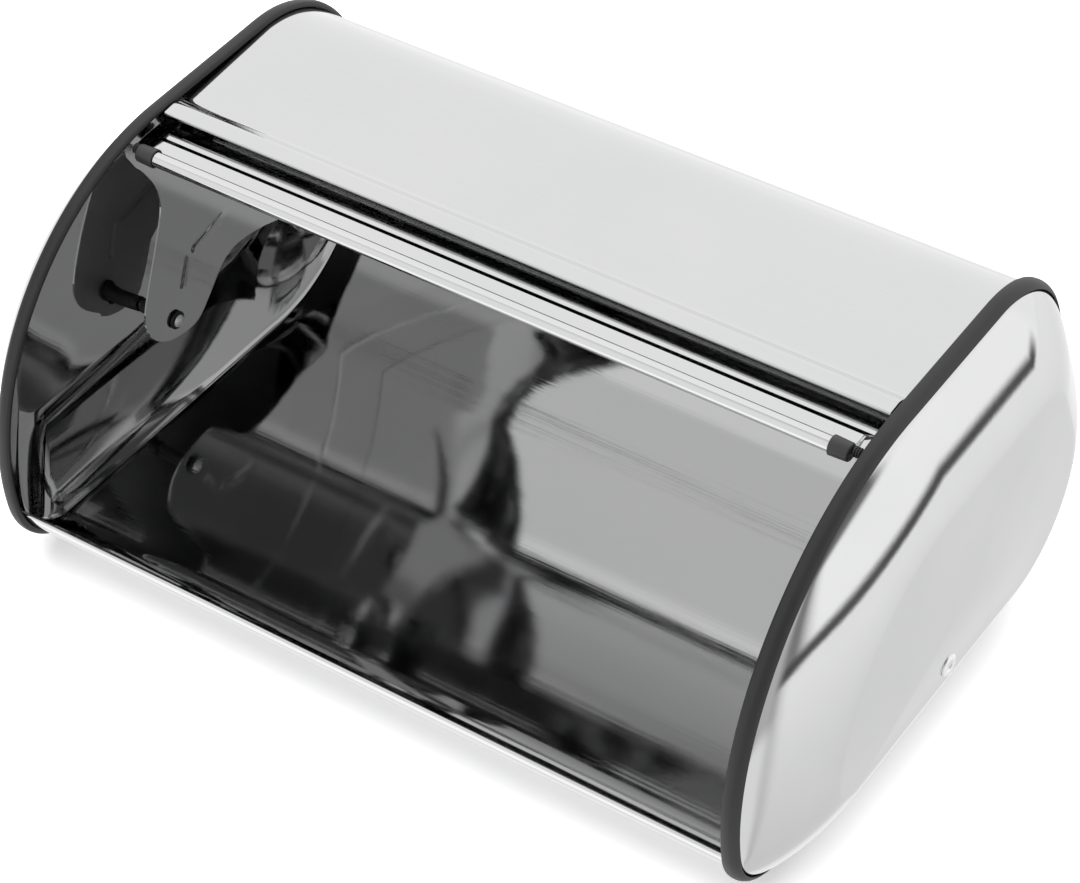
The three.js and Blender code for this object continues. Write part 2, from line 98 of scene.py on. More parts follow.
def support(c, r, a):
    return c[0] * math.cos(a * D) + c[1] * math.sin(a * D) + r


def crossover(c1, r1, c2, r2, a, b):
    f = lambda x: support(c1, r1, x) - support(c2, r2, x)
    s = math.copysign(1, f(a))
    for _ in range(60):
        m = (a + b) / 2
        if math.copysign(1, f(m)) == s:
            a = m
        else:
            b = m
    return (a + b) / 2


A_TOP = crossover(C_BACK_TOP, R_BACK_TOP, C_FRONT, R_FRONT, 85, 100)
A_BACK = crossover(C_BACK_LOW, R_BACK_LOW, C_BACK_TOP, R_BACK_TOP, -20, 20)
ARCS = [(A_BACK, A_TOP, C_BACK_TOP, R_BACK_TOP), (A_TOP, A_LOW, C_FRONT, R_FRONT),
        (A_LOW, 270.0, C_FRONT_LOW, R_FRONT_LOW), (270.0, 360 + A_BACK, C_BACK_LOW, R_BACK_LOW)]


def at(c, r, a, inset=0.0):
    return np.array([c[0] + (r - inset) * math.cos(a * D), c[1] + (r - inset) * math.sin(a * D)])


def arc_of(a):
    while a < A_BACK:
        a += 360
    while a > 360 + A_BACK:
        a -= 360
    return [k for k in ARCS if k[0] <= a <= k[1]][0], a


def outline_point(a, inset):
    k, a = arc_of(a)
    return at(k[2], k[3], a, inset)


def outline_samples(counts):
    out = []
    for k, n in zip(ARCS, counts):
        for i in range(n):
            out.append((k[0] + (k[1] - k[0]) * i / n, k[2], k[3], k is ARCS[1], k is ARCS[2]))
    return out


def arc(c, r, a0, a1, n):
    return [np.array([c[0] + r * math.cos((a0 + (a1 - a0) * i / n) * D),
                      c[1] + r * math.sin((a0 + (a1 - a0) * i / n) * D)]) for i in range(n + 1)]


def fillet(pts, radii, closed=False, n=6):
    """Polyline with its corners rounded to the given radii."""
    pts = [np.array(p, float) for p in pts]
    m = len(pts)
    out = []
    for i, p in enumerate(pts):
        r = radii[i] if hasattr(radii, "__len__") else radii
        if (not closed and i in (0, m - 1)) or r <= 0:
            out.append(p)
            continue
        a, b = pts[(i - 1) % m], pts[(i + 1) % m]
        u, v = a - p, b - p
        lu, lv = np.linalg.norm(u), np.linalg.norm(v)
        u, v = u / lu, v / lv
        ang = math.acos(max(-1, min(1, float(u @ v))))
        if ang > math.pi - 0.01:
            out.append(p)
            continue
        cut = min(r / math.tan(ang / 2), 0.48 * lu, 0.48 * lv)
        rr = cut * math.tan(ang / 2)
        c = p + (u + v) / np.linalg.norm(u + v) * (rr / math.sin(ang / 2))
        s, e = p + u * cut - c, p + v * cut - c
        th0 = math.atan2(s[1], s[0])
        dth = (math.atan2(e[1], e[0]) - th0 + math.pi) % (2 * math.pi) - math.pi
        for k in range(n + 1):
            t = th0 + dth * k / n
            out.append(c + rr * np.array([math.cos(t), math.sin(t)]))
    return out


def tidy(path, gap=0.02, closed=False):
    out = [path[0]]
    for p in path[1:]:
        if np.linalg.norm(p - out[-1]) > gap:
            out.append(p)
    if closed and np.linalg.norm(out[0] - out[-1]) < gap:
        out.pop()
    return out


def strip_loop(path, t):
    """Closed loop round a sheet of thickness t to the left of its path."""
    path = tidy(path)
    n = len(path)
    inner = []
    for i in range(n):
        a, b = path[max(i - 1, 0)], path[min(i + 1, n - 1)]
        d1 = path[i] - a if i > 0 else b - path[i]
        d2 = b - path[i] if i < n - 1 else d1
        d1, d2 = d1 / np.linalg.norm(d1), d2 / np.linalg.norm(d2)
        d = d1 + d2
        d /= np.linalg.norm(d)
        k = 1 / max(0.6, float(d @ d1))
        inner.append(path[i] + np.array([-d[1], d[0]]) * t * k)
    return path, inner


# ------------------------------------------------------------------ meshes
def mesh_object(name, verts, faces, sharp=32, mats=()):
    me = bpy.data.meshes.new(name)
    me.from_pydata([tuple(float(c) * MM for c in v) for v in verts], [], faces)
    me.update()
    import bmesh
    bm = bmesh.new()
    bm.from_mesh(me)
    bmesh.ops.remove_doubles(bm, verts=bm.verts, dist=1e-6)
    bmesh.ops.recalc_face_normals(bm, faces=bm.faces)
    bm.to_mesh(me)
    bm.free()
    me.shade_smooth()
    me.set_sharp_from_angle(angle=sharp * D)
    ob = bpy.data.objects.new(name, me)
    bpy.context.scene.collection.objects.link(ob)
    for m in mats:
        me.materials.append(m)
    return ob


def grid_faces(nu, nv, cu, cv, off=0, flip=False):
    f = []
    for i in range(nu if cu else nu - 1):
        for j in range(nv if cv else nv - 1):
            q = (i * nv + j, ((i + 1) % nu) * nv + j, ((i + 1) % nu) * nv + (j + 1) % nv, i * nv + (j + 1) % nv)
            q = tuple(k + off for k in q)
            f.append(q[::-1] if flip else q)
    return f


def sheet_along_x(name, path, t, x_of, n_x, wave=None, sharp=32):
    """A bent sheet: its YZ path, thickness t, run along X. x_of(s) gives the
    half length at each point of the path (so an edge can be notched)."""
    outer, inner = strip_loop(path, t)
    n = len(outer)
    seg = np.r_[0, np.cumsum([np.linalg.norm(outer[i + 1] - outer[i]) for i in range(n - 1)])]
    loop = outer + inner[::-1]
    s_loop = np.r_[seg, seg[::-1]]
    m = len(loop)
    nrm = []
    for i in range(n):
        v = outer[i] - inner[i]
        nrm.append(v / np.linalg.norm(v))
    nrm = nrm + nrm[::-1]
    us = np.linspace(-1, 1, n_x)
    verts = []
    for u in us:
        for k, (p, s, w) in enumerate(zip(loop, s_loop, nrm)):
            x = u * x_of(s, seg[-1])
            q = p + w * wave(x, s) if wave else p
            verts.append((x, q[0], q[1]))
    faces = grid_faces(n_x, m, False, True)
    for e, off in ((0, 0), (n_x - 1, (n_x - 1) * m)):
        for i in range(n - 1):
            q = (off + i, off + i + 1, off + m - 2 - i, off + m - 1 - i)
            faces.append(q if e == 0 else q[::-1])
    return mesh_object(name, verts, faces, sharp)


def lathe_x(name, profile, segs, cy, cz, side=1, sharp=32):
    """profile: (radius, x) from axis to axis, turned about the line (cy, cz)."""
    verts, faces = [], []
    n = len(profile)
    for i in range(segs):
        a = 2 * math.pi * i / segs
        for r, x in profile:
            verts.append((side * x, cy + r * math.cos(a), cz + r * math.sin(a)))
    faces = grid_faces(segs, n, True, False)
    ob = mesh_object(name, verts, [f for f in faces], sharp)
    import bmesh
    bm = bmesh.new()
    bm.from_mesh(ob.data)
    bmesh.ops.dissolve_degenerate(bm, dist=1e-7, edges=bm.edges)
    bmesh.ops.recalc_face_normals(bm, faces=bm.faces)
    bm.to_mesh(ob.data)
    bm.free()
    ob.data.shade_smooth()
    ob.data.set_sharp_from_angle(angle=sharp * D)
    return ob


def ripple(seed, amp, lx, ls):
    """Gentle unevenness of rolled sheet: long along X, short across it."""
    r = np.random.RandomState(seed)
    k = []
    for _ in range(9):
        k.append((2 * math.pi / (lx * r.uniform(0.7, 2.4)), 2 * math.pi / (ls * r.uniform(0.6, 2.2)),
                  r.uniform(0, 6.28), r.uniform(0, 6.28), r.uniform(0.3, 1.0)))
    tot = sum(q[4] for q in k)

    def f(x, s):
        return amp * sum(a * math.sin(kx * x + p) * math.sin(ks * s + q) for kx, ks, p, q, a in k) / tot * 2
    return f


# ------------------------------------------------------------------ case sheet
LIP_A = 196.4
SHEET_T = 0.7
LIP_HALF = TRIM_IN - 1.0


def case_path():
    hem = 1.9
    p_lip = outline_point(LIP_A, SHEET_INSET)
    inner_low = outline_point(LIP_A + 9, SHEET_INSET + hem)
    tang = np.array([math.sin(LIP_A * D), -math.cos(LIP_A * D)])
    nin = -np.array([math.cos(LIP_A * D), math.sin(LIP_A * D)])
    up = tang if tang[1] > 0 else -tang
    path = [inner_low]
    for i in range(1, 8):
        path.append(outline_point(LIP_A + 9 - 9 * i / 8, SHEET_INSET + hem))
    r = hem / 2
    c = p_lip + nin * r
    for i in range(0, 15):
        t = math.pi * i / 14
        path.append(c + nin * r * math.cos(t) + up * r * math.sin(t))
    n = 40
    path += [outline_point(LIP_A + (270 - LIP_A) * i / n, SHEET_INSET) for i in range(1, n + 1)]
    # floor in small steps, then the lower and upper back corners
    a, b = outline_point(269.99, SHEET_INSET), outline_point(270.01, SHEET_INSET)
    path += [a + (b - a) * i / 40 for i in range(1, 40)]
    path += [outline_point(270.01 + (90 + A_BACK - 0.01) * i / 64, SHEET_INSET) for i in range(65)]
    path += [at(C_BACK_TOP, R_BACK_TOP, A_BACK + (A_TOP - A_BACK) * i / 64, SHEET_INSET) for i in range(65)]
    # flat top, joggle, raised lip with its rolled edge
    zc = outline_point(A_TOP + 0.01, SHEET_INSET)[1]
    crease, lip = PY + 6.2, SHEET_LIP_Y
    last = path[-1]
    pts = [last, (crease + 5.2, zc - 1.55), (crease - 2.0, zc + 1.65), (lip + 1.2, zc + 1.1)]
    run = fillet(pts, [0, 9, 6, 0], n=12)
    a = run[0]
    first = [a + (run[1] - a) * i / 24 for i in range(24)]
    path += first[1:] + run[1:]
    # rolled front edge, turned under
    e = run[-1]
    d = run[-1] - run[-2]
    d /= np.linalg.norm(d)
    down = np.array([d[1], -d[0]])
    if down[1] > 0:
        down = -down
    rr = 0.95
    c = e + down * rr
    for i in range(1, 13):
        t = math.pi * i / 12
        path.append(c - down * rr * math.cos(t) + d * rr * math.sin(t))
    q = path[-1]
    path.append(q - d * 3.0)
    path.append(q - d * 5.5)
    return path


SHEET_LIP_Y = PY - 3.7


def build_case_sheet():
    rip = ripple(11, 0.030, 240, 17)
    path = case_path()

    def wave(x, s):
        fade = min(1.0, max(0.0, (s - 18) / 20))
        return rip(x, s) * fade

    def x_of(s, total):
        # the raised lip stops between the trims
        return LIP_HALF if s > total - 24.6 else SHEET_HALF
    return sheet_along_x("case_sheet_bent", path, SHEET_T, x_of, 73, wave)


# ------------------------------------------------------------------ end caps
CAP_INSET = 3.5 + CAP_SHOULDER
R_MID_LOW = 16.0
Z_MID_LOW = BOTTOM + CAP_INSET + R_MID_LOW
C_MID_LOW = np.array([PY - math.sqrt((R_FRONT - CAP_INSET - R_MID_LOW) ** 2 - (Z_MID_LOW - PZ) ** 2), Z_MID_LOW])
A_MID_LOW = math.degrees(math.atan2(C_MID_LOW[1] - PZ, C_MID_LOW[0] - PY)) % 360
POLE = np.array([PY + 12, PZ + 30])
PIN_R, HOLE_R = 2.0, 2.35


def build_end_cap(side, name, mats):
    samples = outline_samples((64, 110, 48, 64))
    root = np.array([at(c, r, a, 3.5) for a, c, r, f, l in samples])
    mid = np.array([at(C_MID_LOW, R_MID_LOW, a) if (l or (f and a > A_MID_LOW)) else at(c, r, a, CAP_INSET)
                    for a, c, r, f, l in samples])
    e = 1.6
    # profile of the shoulder: (blend 0..1, x)
    steps = 40
    ts = [(0.10 + 0.90 * i / steps) * math.pi / 2 for i in range(steps + 1)]
    prof = [(1 - math.cos(t) ** e if t < math.pi / 2 - 1e-6 else 1.0, CAP_ROOT_X + CAP_DEPTH * math.sin(t) ** e) for t in ts]
    rings = []          # each a (k, 2) array plus its x

    def shoulder(w, x, off):
        y = root + (mid - root) * w
        return y, x

    def ring_at(w, x):
        return root + (mid - root) * w, x

    outer = [ring_at(w, x) for w, x in prof]
    crown = []
    x_top = CAP_ROOT_X + CAP_DEPTH
    for k in np.linspace(1, 0.04, 30)[1:]:
        crown.append((POLE + (mid - POLE) * k, x_top + CAP_CROWN * (1 - k * k) ** 1.5))

    def thick(ring_list):
        """Inner side: every ring moved inwards along the local section normal."""
        res = []
        for i, (yz, x) in enumerate(ring_list):
            a, b = ring_list[max(i - 1, 0)], ring_list[min(i + 1, len(ring_list) - 1)]
            d = np.c_[b[0] - a[0], np.full(len(yz), b[1] - a[1])]
            rad = b[0] - a[0]
            l = np.linalg.norm(rad, axis=1)
            u = rad / np.maximum(l, 1e-9)[:, None]
            dx = b[1] - a[1]
            n = np.sqrt(l * l + dx * dx)
            # direction along the section is (u*l, dx)/n ; inward normal is (u*dx, -l)/n
            res.append((yz + u * (dx / n)[:, None] * CAP_T, x - l / n * CAP_T))
        return res
    full = outer + crown
    inner = thick(full)
    f1 = np.array([at(c, r, a, 3.1) for a, c, r, f, l in samples]), CAP_FLANGE_X + CAP_T + 0.3
    f2 = np.array([at(c, r, a, 1.9) for a, c, r, f, l in samples]), CAP_FLANGE_X + CAP_T
    f3 = np.array([at(c, r, a, 1.9) for a, c, r, f, l in samples]), CAP_FLANGE_X
    f4 = np.array([at(c, r, a, 3.9) for a, c, r, f, l in samples]), CAP_FLANGE_X
    order = full[::-1] + [f1, f2, f3, f4] + inner
    k = len(samples)
    verts, faces = [], []
    for yz, x in order:
        xs = x if hasattr(x, "__len__") else np.full(k, x)
        for p, q in zip(yz, xs):
            verts.append((side * q, p[0], p[1]))
    rows = len(order)
    for j in range(rows - 1):
        for i in range(k):
            a, b = j * k + i, j * k + (i + 1) % k
            faces.append((a, b, b + k, a + k))
    # centre fans
    top = (side * (x_top + CAP_CROWN), POLE[0], POLE[1])
    bot = (side * (x_top + CAP_CROWN - CAP_T), POLE[0], POLE[1])
    verts += [top, bot]
    for i in range(k):
        faces.append((i, (i + 1) % k, rows * k))
        faces.append(((rows - 1) * k + (i + 1) % k, (rows - 1) * k + i, rows * k + 1))
    ob = mesh_object(name, verts, faces, 40, mats)
    if len(mats) > 1:
        # inner side of the wall takes the second material
        limit = (len(full) + 2) * k
        for p in ob.data.polygons:
            n = p.normal
            if side * n.x < -0.05 or (side * n.x < 0.25 and is_inner(p.center / MM, side, n)):
                p.material_index = 1
    return ob


def is_inner(c, side, n):
    """Faces of the cap whose normal points towards the middle of the box."""
    v = np.array([c[1] - POLE[0], c[2] - POLE[1]])
    return (n.y * v[0] + n.z * v[1]) < 0


# ------------------------------------------------------------------ trims
def build_trim(side, name, mats):
    g_in, g_out = CAP_FLANGE_X - 0.3, CAP_FLANGE_X + CAP_T + 0.3
    ti, to = TRIM_IN, TRIM_OUT
    sec = [(1.5, ti), (0.3, ti + 0.6), (0.0, ti + 2.4), (0.15, ti + 4.3), (1.25, ti + 6.6), (3.35, to - 0.05),
           (3.5, to - 0.9), (2.6, g_out + 0.5), (1.6, g_out), (1.5, g_in),
           (3.0, g_in), (3.0, ti + 0.5), (2.5, ti)]
    sec = fillet(sec, [0.9, 1.0, 4, 4, 4, 0.35, 0.25, 0, 0, 0, 0.2, 0.4, 0.4], closed=True, n=5)
    sec = tidy(sec, 0.03, True)
    samples = outline_samples((72, 130, 52, 72))
    verts = []
    for a, c, r, f, l in samples:
        for ins, x in sec:
            p = at(c, r, a, ins)
            verts.append((side * x, p[0], p[1]))
    faces = grid_faces(len(samples), len(sec), True, True)
    return mesh_object(name, verts, faces, 50, mats)


# ------------------------------------------------------------------ door
def pol(r, a):
    return np.array([PY + r * math.cos(a * D), PZ + r * math.sin(a * D)])


BACK_A, STEP_A = -2.0, 95.2
STRIP_END = np.array([PY - 21.7, PZ + 119.25])
TUBE_C = np.array([(TUBE_LO[1] + TUBE_HI[1]) / 2, (TUBE_LO[2] + TUBE_HI[2]) / 2])
TUBE_R = (TUBE_HI[1] - TUBE_LO[1]) / 2


def build_door_sheet():
    path = []
    n = 150
    for i in range(n + 1):
        path.append(pol(DOOR_R, BACK_A + (STEP_A - 1.2 - BACK_A) * i / n))
    pts = [path[-1], pol(DOOR_R, STEP_A - 0.1), np.array([PY - 13.0, PZ + 118.95]), STRIP_END]
    run = fillet(pts, [0, 2.2, 2.2, 0], n=8)
    a, b = run[-2], run[-1]
    path += run[1:-1]
    path += [a + (b - a) * i / 14 for i in range(1, 15)]
    rip = ripple(5, 0.022, 300, 15)
    # the pull strip is cut a little shorter than the rolled part
    return sheet_along_x("door_sheet_rolled", path, 0.6, lambda s, t: 175.8 if s > t - 9.2 else DOOR_HI[0], 73, rip)


def build_tube():
    r0, r1 = TUBE_R, TUBE_R - 0.6
    h = TUBE_HI[0]
    prof = []
    xs = np.linspace(-h, h, 40)
    prof = [(r1, -h), (r0 - 0.15, -h)] + [(r0, x) for x in xs] + [(r0 - 0.15, h), (r1, h)] + [(r1, x) for x in xs[::-1]]
    verts = []
    segs = 64
    for i in range(segs):
        a = 2 * math.pi * i / segs
        for r, x in prof:
            verts.append((x, TUBE_C[0] + r * math.cos(a), TUBE_C[1] + r * math.sin(a)))
    return mesh_object("pull_tube_drawn", verts, grid_faces(segs, len(prof), True, True), 40)


def build_pull_cap(side, name, mats):
    r = (PCAP_HI[1] - PCAP_LO[1]) / 2
    x0, x1 = PCAP_LO[0], PCAP_HI[0]
    prof = fillet([(0, x1), (r - 0.35, x1), (r, x0 + 0.2), (TUBE_R + 0.25, x0), (TUBE_R + 0.25, TUBE_HI[0] + 0.3), (0, TUBE_HI[0] + 0.3)],
                  [0, 0.9, 0.4, 0.1, 0.2, 0], n=6)
    ob = lathe_x(name, [tuple(p) for p in prof], 56, TUBE_C[0], TUBE_C[1], side, 35)
    for m in mats:
        ob.data.materials.append(m)
    return ob


def build_plug(side, name, mats):
    x0, x1 = PLUG_LO[0], PLUG_HI[0]
    r = (PLUG_HI[1] - PLUG_LO[1]) / 2
    cy, cz = (PLUG_HI[1] + PLUG_LO[1]) / 2, (PLUG_HI[2] + PLUG_LO[2]) / 2
    prof = [(0, x0), (r - 0.7, x0)]
    for k in range(3):
        a = x0 + 0.35 + k * 1.05
        prof += [(r - 0.75, a), (r - 0.05, a + 0.22), (r, a + 0.42), (r - 0.12, a + 0.62), (r - 0.75, a + 0.8)]
    prof += [(r - 1.0, x1), (0, x1)]
    ob = lathe_x(name, prof, 28, cy, cz, side, 35)
    for m in mats:
        ob.data.materials.append(m)
    return ob


# ------------------------------------------------------------------ side plates
PLATE_FRONT = [(-13.2, 97), (-8.6, 91), (-2.2, 79), (-0.4, 66), (-5.6, 50.5), (-11.6, 36), (-18.2, 19.5),
               (-19.8, 9.5), (-15.8, -1), (-7, -8.2), (3.3, -11.2), (15, -11), (24.2, -3.6), (36, 8.4),
               (47.5, 12.6), (65.8, 10.2), (84, 4.6)]
FLANGE_R = 117.9
FLANGE_IN = 168.0


def catmull(pts, n):
    pts = [np.array(p, float) for p in pts]
    out = []
    for i in range(len(pts) - 1):
        p0, p1, p2, p3 = pts[max(i - 1, 0)], pts[i], pts[i + 1], pts[min(i + 2, len(pts) - 1)]
        for k in range(n):
            t = k / n
            out.append(0.5 * ((2 * p1) + (-p0 + p2) * t + (2 * p0 - 5 * p1 + 4 * p2 - p3) * t * t + (-p0 + 3 * p1 - 3 * p2 + p3) * t ** 3))
    out.append(pts[-1])
    return out


def seg_dist(p, a, b):
    ab = b - a
    t = np.clip(((p - a) @ ab) / (ab @ ab), 0, 1)
    return np.linalg.norm(p - (a + np.outer(t, ab)), axis=1), t


def smooth_step(e0, e1, x):
    t = np.clip((x - e0) / (e1 - e0), 0, 1)
    return t * t * (3 - 2 * t)


RIB_A = np.array([7.6, 15.0]), np.array([12.6, 28.0])
RIB_B = np.array([19.0, 29.6]), np.array([46.0, 35.6])


def emboss(p):
    """Height of the pressed ribs, towards the middle of the box (mm)."""
    h = np.zeros(len(p))
    d, t = seg_dist(p, RIB_A[0], RIB_A[1])
    w = 1.7 - 0.5 * t
    h = np.maximum(h, 0.75 * (1 - smooth_step(w * 0.35, w * 1.25, d)))
    d, t = seg_dist(p, RIB_B[0], RIB_B[1])
    w = 3.0 + 0 * t
    tall = 1.0 - smooth_step(0.25, 1.0, t)
    return np.maximum(h, 0.8 * tall * (1 - smooth_step(w * 0.5, w * 1.1, d)))


def inside(p, poly):
    c = np.zeros(len(p), bool)
    j = len(poly) - 1
    for i in range(len(poly)):
        yi, yj = poly[i][1], poly[j][1]
        cond = ((yi > p[:, 1]) != (yj > p[:, 1]))
        xx = (poly[j][0] - poly[i][0]) * (p[:, 1] - yi) / (yj - yi + 1e-12) + poly[i][0]
        c ^= cond & (p[:, 0] < xx)
        j = i
    return c


def plate_mesh():
    """Flat triangulation of the side plate: fine where it is pressed."""
    from mathutils.geometry import delaunay_2d_cdt
    rr = FLANGE_R - 1.9
    arc_pts = [np.array([rr * math.cos(a * D), rr * math.sin(a * D)]) for a in np.linspace(2.4, 99.5, 90)]
    outline = tidy(arc_pts + [np.array([-18.2, 106.0])] + catmull(PLATE_FRONT, 6), 0.15, True)
    n = len(outline)
    poly = np.array(outline)
    hole = [np.array([HOLE_R * math.cos(t), HOLE_R * math.sin(t)]) for t in np.linspace(0, 2 * math.pi, 33)[:-1]]
    lo, hi = poly.min(0), poly.max(0)
    st = 2.2
    gx, gy = np.meshgrid(np.arange(lo[0], hi[0], st), np.arange(lo[1], hi[1], st * 0.866))
    gx[1::2] += st / 2
    pts = np.c_[gx.ravel(), gy.ravel()]
    fx, fy = np.meshgrid(np.arange(-8, 52, 0.62), np.arange(8, 44, 0.54))
    fx[1::2] += 0.31
    fine = np.c_[fx.ravel(), fy.ravel()]

    def pressed(q, m):
        return (seg_dist(q, *RIB_A)[0] < 2.6 + m) | (seg_dist(q, *RIB_B)[0] < 4.0 + m)
    pts = np.vstack([pts[~pressed(pts, 0.6)], fine[pressed(fine, 0)]])
    pts = pts[inside(pts, poly)]
    dmin = np.full(len(pts), 1e9)
    for i in range(n):
        dmin = np.minimum(dmin, seg_dist(pts, poly[i], poly[(i + 1) % n])[0])
    pts = pts[(dmin > 0.55) & (np.linalg.norm(pts, axis=1) > HOLE_R + 0.35)]
    allp = [Vector(p) for p in outline] + [Vector(p) for p in hole] + [Vector(p) for p in pts]
    ed = [(i, (i + 1) % n) for i in range(n)] + [(n + i, n + (i + 1) % 32) for i in range(32)]
    vs, es, fs, *_ = delaunay_2d_cdt(allp, ed, [], 0, 1e-5)
    V = np.array([tuple(v) for v in vs])
    C = np.array([V[list(f)].mean(0) for f in fs])
    good = inside(C, poly) & (np.linalg.norm(C, axis=1) > HOLE_R)
    return V, [list(f) for f, g in zip(fs, good) if g]


PLATE_V, PLATE_F = plate_mesh()


def build_side_plate(side, name, mats):
    V, F = PLATE_V, PLATE_F
    rr = FLANGE_R - 1.9
    h = emboss(V)
    t = 0.8
    x_in = PLATE_X
    verts = [(side * (x_in - h[i]), PY + V[i][0], PZ + V[i][1]) for i in range(len(V))]
    verts += [(side * (x_in + t - h[i]), PY + V[i][0], PZ + V[i][1]) for i in range(len(V))]
    m = len(V)
    faces = [tuple(f) for f in F] + [tuple(k + m for k in f[::-1]) for f in F]
    from collections import Counter
    cnt = Counter()
    for f in F:
        for a, b in zip(f, f[1:] + f[:1]):
            cnt[(a, b)] += 1
    for (a, b), c in list(cnt.items()):
        if (b, a) not in cnt:
            faces.append((b, a, a + m, b + m))
    plate = mesh_object(name, verts, faces, 40, mats)
    # curved flange with its bend, swept round the pin
    r0, r1 = FLANGE_R, FLANGE_R - 0.8
    br = 1.9
    sec = [(rr, x_in + t)] + [(FLANGE_R - br + br * math.sin(a), x_in + t - br + br * math.cos(a)) for a in np.linspace(0.15, math.pi / 2, 8)]
    sec += [(r0, x) for x in np.linspace(x_in + t - br, FLANGE_IN, 10)[1:]]
    sec += [(r1, x) for x in np.linspace(FLANGE_IN, x_in + t - br, 10)]
    ri = br - 0.8
    sec += [(FLANGE_R - br + ri * math.sin(a), x_in + t - br + ri * math.cos(a)) for a in np.linspace(math.pi / 2 - 0.2, 0, 6)]
    def flange(nm, s, a0, a1, k):
        vv = []
        angs = np.linspace(a0, a1, k)
        for a in angs:
            for r, x in s:
                vv.append((side * x, PY + r * math.cos(a * D), PZ + r * math.sin(a * D)))
        ff = grid_faces(k, len(s), False, True)
        ff.append(tuple(range(len(s)))[::-1])
        ff.append(tuple((k - 1) * len(s) + i for i in range(len(s))))
        return mesh_object(nm, vv, ff, 40, mats)
    fl = flange(name + "_flange", sec, 2.4, 93.8, 110)
    sec2 = [(r, max(x, 176.0)) for r, x in sec]
    fl2 = flange(name + "_tab", tidy([np.array(p) for p in sec2], 0.001, True), 93.8, 99.5, 8)
    return plate, fl, fl2


def join(objs, name, sharp=40):
    import bmesh
    bm = bmesh.new()
    for o in objs:
        bm.from_mesh(o.data)
    me = bpy.data.meshes.new(name)
    bm.to_mesh(me)
    bm.free()
    for m in objs[0].data.materials:
        me.materials.append(m)
    for o in objs:
        bpy.data.objects.remove(o)
    me.shade_smooth()
    me.set_sharp_from_angle(angle=sharp * D)
    ob = bpy.data.objects.new(name, me)
    bpy.context.scene.collection.objects.link(ob)
    return ob


def rounded_profile(pts, radii, n=6):
    return [tuple(p) for p in fillet(pts, radii, n=n)]


def build_pin(side, name, mats):
    x0, x1 = PIN_LO[0], PIN_HI[0]
    # the head lies on the crown of the cap, which has this height at the pivot
    head = CAP_ROOT_X + CAP_DEPTH + CAP_CROWN * 0.263 - 0.03
    x1 = head + 1.3
    neck = x0 + 1.9
    prof = [(0, x0), (0.8, x0 + 0.05), (1.5, x0 + 0.2), (2.2, x0 + 0.5), (2.7, x0 + 0.9), (3.0, x0 + 1.35), (3.1, x0 + 1.7), (3.05, neck), (PIN_R, neck),
            (PIN_R, head), (5.0, head), (5.2, head + 0.2), (5.15, head + 0.75), (4.7, head + 1.15), (4.1, x1 - 0.02), (2.75, x1),
            (2.5, x1 - 0.12), (2.15, head + 0.55), (1.6, head + 0.4), (0, head + 0.36)]
    ob = lathe_x(name, prof, 56, PY, PZ, side, 42)
    for m in mats:
        ob.data.materials.append(m)
    return ob


def build_ring(side, name, r0, r1, x0, x1, mats, edge=0.25):
    prof = fillet([(r0, x0), (r1, x0), (r1, x1), (r0, x1)], edge, closed=True, n=4)
    verts = []
    segs = 48
    for i in range(segs):
        a = 2 * math.pi * i / segs
        for r, x in prof:
            verts.append((side * x, PY + r * math.cos(a), PZ + r * math.sin(a)))
    return mesh_object(name, verts, grid_faces(segs, len(prof), True, True), 42, mats)


def build_bush(side, name, mats):
    x0, x1 = BUSH_LO[0], BUSH_HI[0]
    r = (BUSH_HI[1] - BUSH_LO[1]) / 2
    prof = fillet([(HOLE_R, x0), (r, x0), (r, x0 + 1.2), (r - 1.2, x0 + 1.6), (r - 1.2, x1), (HOLE_R, x1)],
                  [0.2, 0.4, 0.3, 0.6, 0.3, 0.2], closed=True, n=4)
    verts = []
    segs = 48
    for i in range(segs):
        a = 2 * math.pi * i / segs
        for q, x in prof:
            verts.append((side * x, PY + q * math.cos(a), PZ + q * math.sin(a)))
    return mesh_object(name, verts, grid_faces(segs, len(prof), True, True), 42, mats)


def build_foot(node, mats):
    lo, hi = span(node)
    cx, cy = (lo[0] + hi[0]) / 2, (lo[1] + hi[1]) / 2
    r, h = (hi[0] - lo[0]) / 2, hi[2]
    prof = fillet([(0, 0.55), (3.4, 0.55), (3.9, 0.0), (r - 2.3, 0.0), (r - 1.2, 0.6), (r, h - 0.9), (r - 0.4, h), (0, h)],
                  [0, 0.4, 0.3, 0.7, 0.8, 0.6, 0.3, 0], n=4)
    verts = []
    segs = 56
    for i in range(segs):
        a = 2 * math.pi * i / segs
        for q, z in prof:
            verts.append((cx + q * math.cos(a), cy + q * math.sin(a), z))
    ob = mesh_object(node + "_moulded", verts, grid_faces(segs, len(prof), True, False), 42, mats)
    import bmesh
    bm = bmesh.new()
    bm.from_mesh(ob.data)
    bmesh.ops.dissolve_degenerate(bm, dist=1e-7, edges=bm.edges)
    bmesh.ops.recalc_face_normals(bm, faces=bm.faces)
    bm.to_mesh(ob.data)
    bm.free()
    ob.data.shade_smooth()
    ob.data.set_sharp_from_angle(angle=42 * D)
    return ob


# ------------------------------------------------------------------ materials
def new_material(name):
    m = bpy.data.materials.new(name)
    m.use_nodes = True
    nt = m.node_tree
    nt.nodes.clear()
    out = nt.nodes.new("ShaderNodeOutputMaterial")
    b = nt.nodes.new("ShaderNodeBsdfPrincipled")
    nt.links.new(b.outputs["BSDF"], out.inputs["Surface"])
    return m, nt, b


def node(nt, kind, **kw):
    n = nt.nodes.new(kind)
    for k, v in kw.items():
        setattr(n, k, v)
    return n


